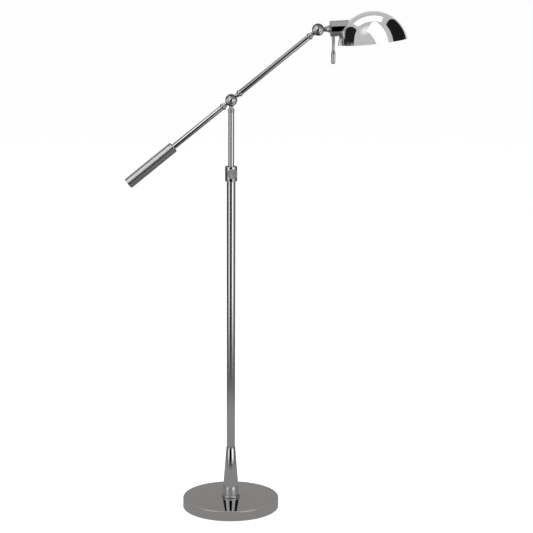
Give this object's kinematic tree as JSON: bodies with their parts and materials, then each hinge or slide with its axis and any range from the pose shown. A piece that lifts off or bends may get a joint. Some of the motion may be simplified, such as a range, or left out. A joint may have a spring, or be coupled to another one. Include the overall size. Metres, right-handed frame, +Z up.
{
  "type": "adjustable arm floor lamp",
  "caption": "Free-standing lamp with a telescopic pole on a round weighted base, a counterbalanced tilting boom and a domed shade with a switch wand.",
  "frame": {"origin": "on the floor, on the pole's axis", "axes": "+Z up along the pole, +X towards the lamp end of the boom, -Y towards the thumb screw"},
  "size_m": [0.7214, 0.2563, 1.3129],
  "materials": {
    "chrome": "mirror polished plating",
    "nickel": "mirror polished plating, slightly warm",
    "knurled": "fine knurl, plated",
    "iron": "rough casting",
    "steel": "zinc plated, machined",
    "felt": "dense felt",
    "nylon": "moulded",
    "brass": "machined",
    "cable": "smooth sheath",
    "porcelain": "glazed",
    "frosted_glass": "frosted"
  },
  "bodies": {
    "stand": {"base_pad": "felt", "base_weight": "iron", "base_cover": "nickel", "cord_grommet": "nylon", "tie_rod": "steel", "base_nut": "steel", "base_washer": "steel", "neck_bead_ring": "chrome", "neck_cone": "chrome", "neck_top_ring": "chrome", "lower_tube": "chrome", "tube_foot_insert": "brass", "pole_lead": "cable", "collar_body": "chrome", "collar_bushing": "nylon"},
    "clamp": {"clamp_pad": "brass"},
    "thumb_screw": {"thumb_stud": "steel", "thumb_knob": "knurled"},
    "post": {"upper_tube": "chrome", "upper_tube_guide": "nylon", "post_coupler": "chrome", "post_lead": "cable"},
    "swivel": {"swivel_knuckle": "chrome", "swivel_nipple": "brass", "lower_cap_rear": "chrome"},
    "boom": {"boom_knuckle_lower": "chrome", "lower_cap_front": "chrome", "lower_pivot_screw": "steel", "lower_pivot_nut": "steel", "lower_friction_washer": "brass", "front_coupler": "chrome", "rear_coupler": "chrome", "front_arm_tube": "chrome", "rear_arm_tube": "chrome", "boom_lead": "cable", "rear_tube_plug": "brass", "counterweight_stud": "steel", "counterweight": "knurled", "arm_end_coupler": "chrome", "boom_knuckle_upper": "chrome", "upper_cap_rear": "chrome"},
    "head_neck": {"head_knuckle": "chrome", "upper_cap_front": "chrome", "upper_pivot_screw": "steel", "upper_pivot_nut": "steel", "upper_friction_washer": "brass", "head_ferrule": "chrome", "roll_nipple": "brass"},
    "head": {"housing_cap": "chrome", "housing_tube": "chrome", "dimmer_switch": "nylon", "wand_bushing": "chrome", "lampholder": "porcelain", "bulb_cap": "brass", "bulb_glass": "frosted_glass", "shade_dome": "chrome", "shade_saddle": "steel"},
    "wand": {"wand_stem": "chrome", "wand_grip": "chrome"}
  },
  "joints": [
    {"name": "height_slide", "type": "slide", "parent": "stand", "child": "post", "axis": [0, 0, 1], "range_m": [-0.1, 0.18]},
    {"name": "post_swivel", "type": "hinge", "parent": "post", "child": "swivel", "pos_m": [0, 0, 1.059], "axis": [0, 0, 1], "range_deg": [-170, 170]},
    {"name": "boom_tilt", "type": "hinge", "parent": "swivel", "child": "boom", "pos_m": [0, 0, 1.085], "axis": [0, -1, 0], "range_deg": [-59, 10]},
    {"name": "head_tilt", "type": "hinge", "parent": "boom", "child": "head_neck", "pos_m": [0.21977, 0, 1.26488], "axis": [0, -1, 0], "range_deg": [-60, 70]},
    {"name": "head_roll", "type": "hinge", "parent": "head_neck", "child": "head", "pos_m": [0.21977, 0, 1.26488], "axis": [0.9983, 0, 0.0576], "range_deg": [-90, 90]},
    {"name": "dimmer_turn", "type": "hinge", "parent": "head", "child": "wand", "pos_m": [0.2591, 0, 1.26715], "axis": [0, 0, -1], "range_deg": [0, 280]},
    {"name": "clamp_travel", "type": "slide", "parent": "stand", "child": "clamp", "axis": [0.1564, -0.9877, 0], "range_m": [0, 0.002]},
    {"name": "thumb_screw_turn", "type": "hinge", "parent": "clamp", "child": "thumb_screw", "pos_m": [0, 0, 0.8975], "axis": [0.1564, -0.9877, 0], "range_deg": [0, 720]}
  ],
  "couplings": [
    {"joint": "thumb_screw_turn", "follows": "clamp_travel", "rad_per_m": 6283.2}
  ]
}
